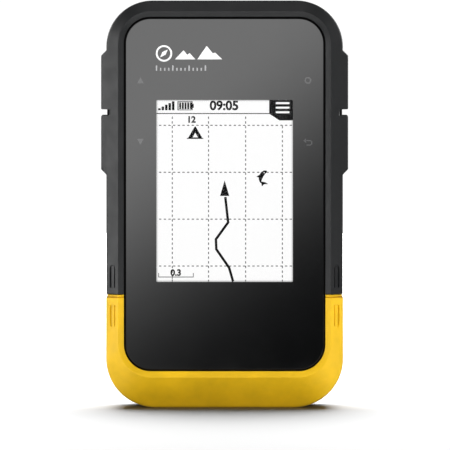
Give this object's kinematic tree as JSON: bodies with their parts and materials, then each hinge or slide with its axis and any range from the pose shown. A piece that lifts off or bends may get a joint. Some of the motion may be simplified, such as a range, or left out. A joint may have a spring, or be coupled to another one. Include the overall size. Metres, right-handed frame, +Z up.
{
  "type": "handheld gps navigator",
  "caption": "Rugged handheld satellite navigator with a flush lit display, sprung side keys, a yellow lower bumper and a latched battery door.",
  "frame": {"origin": "middle of the base, under the middle of the body's depth", "axes": "+X to the user's right, +Y from the display to the battery door, +Z up the long axis"},
  "size_m": [0.061, 0.033, 0.1004],
  "materials": {
    "dark_shell": "fine-textured dark grey moulding",
    "yellow_shell": "fine-textured amber yellow moulding",
    "black_shell": "textured black moulding",
    "lens": "polished, with a black border behind it",
    "display": "lit white display",
    "inner_black": "plain black moulding",
    "diffuser": "milky diffuser",
    "ribbon": "amber polyimide ribbon",
    "board": "green solder mask",
    "package": "black moulded packages",
    "tin": "tinned steel",
    "ceramic": "fired ceramic, stood in for by matte plastic",
    "switch": "moulded switch bodies",
    "key_rubber": "moulded rubber keys",
    "seal_rubber": "silicone cord and gasket",
    "foam": "dense foam",
    "screw_steel": "plated steel",
    "spring_steel": "sprung steel",
    "cell_wrap": "plain printed-colour wrap with steel ends",
    "brass_contact": "gold-flashed contact plates",
    "ring_steel": "stainless, lightly brushed"
  },
  "bodies": {
    "body": {"front_housing": "dark_shell", "lower_bumper": "yellow_shell", "rear_housing": "black_shell", "cover_lens": "lens", "lens_adhesive": "inner_black", "lcd_panel": "display", "backlight": "diffuser", "display_bracket": "inner_black", "display_flex": "ribbon", "main_pcb": "board", "pcb_chips": "package", "rf_shield": "tin", "patch_antenna": "ceramic", "side_switches": "switch", "power_switch": "switch", "housing_seal": "seal_rubber", "housing_screws": "screw_steel", "pcb_screws": "screw_steel", "battery_left": "cell_wrap", "battery_right": "cell_wrap", "battery_springs": "spring_steel", "battery_contacts": "brass_contact", "latch_catch": "spring_steel", "catch_screws": "screw_steel", "usb_port": "tin", "usb_board": "board", "board_connector": "switch", "usb_screws": "screw_steel", "usb_cap_anchor": "key_rubber"},
    "up_key_body": {"up_key": "key_rubber"},
    "down_key_body": {"down_key": "key_rubber"},
    "ok_key_body": {"ok_key": "key_rubber"},
    "back_key_body": {"back_key": "key_rubber"},
    "power_key_body": {"power_key": "key_rubber"},
    "door": {"battery_door": "black_shell", "door_gasket": "seal_rubber", "battery_pads": "foam"},
    "latch": {"latch_rotor": "inner_black", "latch_clip": "spring_steel"},
    "ring": {"d_ring": "ring_steel"},
    "cap": {"usb_cap": "key_rubber"}
  },
  "joints": [
    {"name": "up_key_press", "type": "slide", "parent": "body", "child": "up_key_body", "axis": [1, 0, 0], "range_m": [0, 0.0005], "stiffness_N_per_m": 400},
    {"name": "down_key_press", "type": "slide", "parent": "body", "child": "down_key_body", "axis": [1, 0, 0], "range_m": [0, 0.0005], "stiffness_N_per_m": 400},
    {"name": "ok_key_press", "type": "slide", "parent": "body", "child": "ok_key_body", "axis": [-1, 0, 0], "range_m": [0, 0.0005], "stiffness_N_per_m": 400},
    {"name": "back_key_press", "type": "slide", "parent": "body", "child": "back_key_body", "axis": [-1, 0, 0], "range_m": [0, 0.0005], "stiffness_N_per_m": 400},
    {"name": "power_key_press", "type": "slide", "parent": "body", "child": "power_key_body", "axis": [0, 0, -1], "range_m": [0, 0.0005], "stiffness_N_per_m": 400},
    {"name": "door_lift", "type": "slide", "parent": "body", "child": "door", "axis": [0, 1, 0], "range_m": [0, 0.025], "deforming": ["latch_catch"]},
    {"name": "latch_turn", "type": "hinge", "parent": "door", "child": "latch", "pos_m": [0, 0.011, 0.0154], "axis": [0, 1, 0], "range_deg": [0, 90]},
    {"name": "ring_flip", "type": "hinge", "parent": "latch", "child": "ring", "pos_m": [0, 0.01095, 0.0154], "axis": [1, 0, 0], "range_deg": [0, 110]},
    {"name": "usb_cap_open", "type": "hinge", "parent": "body", "child": "cap", "pos_m": [0, 0.00885, 0.09552], "axis": [1, 0, 0], "range_deg": [0, 125]}
  ]
}
